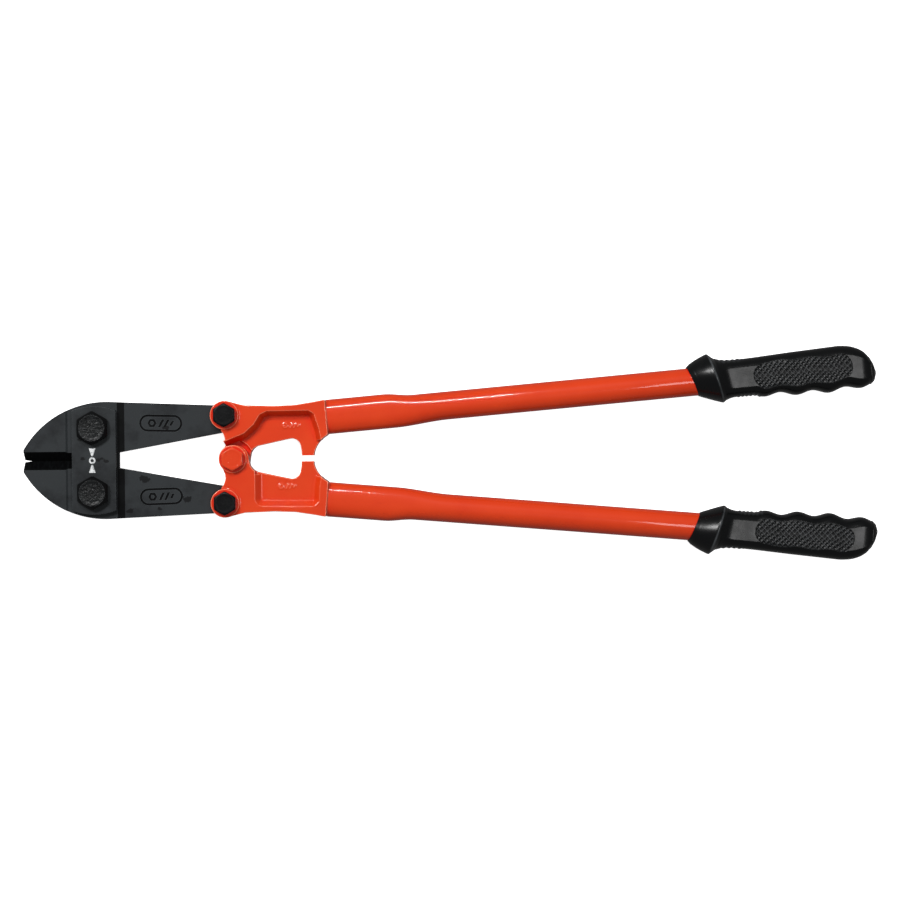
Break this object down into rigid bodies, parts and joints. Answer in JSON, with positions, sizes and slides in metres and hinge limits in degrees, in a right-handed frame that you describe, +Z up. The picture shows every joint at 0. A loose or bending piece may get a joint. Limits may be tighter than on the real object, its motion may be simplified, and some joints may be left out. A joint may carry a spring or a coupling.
{
  "type": "bolt cutters",
  "caption": "Long-handled bolt cutters with compound-leverage jaws on strap plates, forged handle heads, round tube handles and moulded rubber grips.",
  "frame": {"origin": "on the centre bolt's axis, in the plane that the nut faces lie in", "axes": "+X from the centre bolt towards the grips, +Y across the tool towards the upper handle, +Z up from the rest plane to the bolt heads"},
  "size_m": [0.6045, 0.1522, 0.036],
  "materials": {
    "plate_steel": "satin phosphated steel",
    "jaw_steel": "matt phosphated forged steel",
    "black_oxide": "black oxide",
    "red_enamel": "gloss enamel",
    "grip_rubber": "moulded, satin gloss"
  },
  "bodies": {
    "strap_link": {"strap_plate_front": "plate_steel", "strap_plate_rear": "plate_steel", "jaw_bolt_upper": "black_oxide", "jaw_bolt_lower": "black_oxide", "jaw_nut_upper": "black_oxide", "jaw_nut_lower": "black_oxide"},
    "lower_jaw": {"jaw_lower": "jaw_steel"},
    "lower_handle": {"handle_head_lower": "red_enamel", "handle_tube_lower": "red_enamel", "grip_lower": "grip_rubber", "tail_bolt_lower": "black_oxide", "tail_washer_lower": "black_oxide", "tail_nut_lower": "black_oxide", "centre_bolt": "red_enamel", "centre_washer": "red_enamel", "centre_nut": "red_enamel"},
    "upper_handle": {"handle_head_upper": "red_enamel", "handle_tube_upper": "red_enamel", "grip_upper": "grip_rubber", "tail_bolt_upper": "black_oxide", "tail_washer_upper": "black_oxide", "tail_nut_upper": "black_oxide"},
    "upper_jaw": {"jaw_upper": "jaw_steel"}
  },
  "joints": [
    {"name": "lower_jaw_hinge", "type": "hinge", "parent": "strap_link", "child": "lower_jaw", "pos_m": [-0.0986, -0.0229, 0.018], "axis": [0, 0, 1], "range_deg": [0, 8.03]},
    {"name": "lower_tail_hinge", "type": "hinge", "parent": "lower_jaw", "child": "lower_handle", "pos_m": [-0.0056, -0.0311, 0.018], "axis": [0, 0, -1], "range_deg": [0, 53.03]},
    {"name": "handle_hinge", "type": "hinge", "parent": "lower_handle", "child": "upper_handle", "pos_m": [0, 0, 0.018], "axis": [0, 0, 1], "range_deg": [0, 90]},
    {"name": "upper_tail_hinge", "type": "hinge", "parent": "upper_handle", "child": "upper_jaw", "pos_m": [-0.0056, 0.0311, 0.018], "axis": [0, 0, -1], "range_deg": [0, 53.03]}
  ],
  "couplings": [
    {"joint": "lower_jaw_hinge", "follows": "handle_hinge", "ratio": 0.089202},
    {"joint": "lower_tail_hinge", "follows": "handle_hinge", "ratio": 0.5892},
    {"joint": "upper_tail_hinge", "follows": "handle_hinge", "ratio": 0.5892}
  ]
}
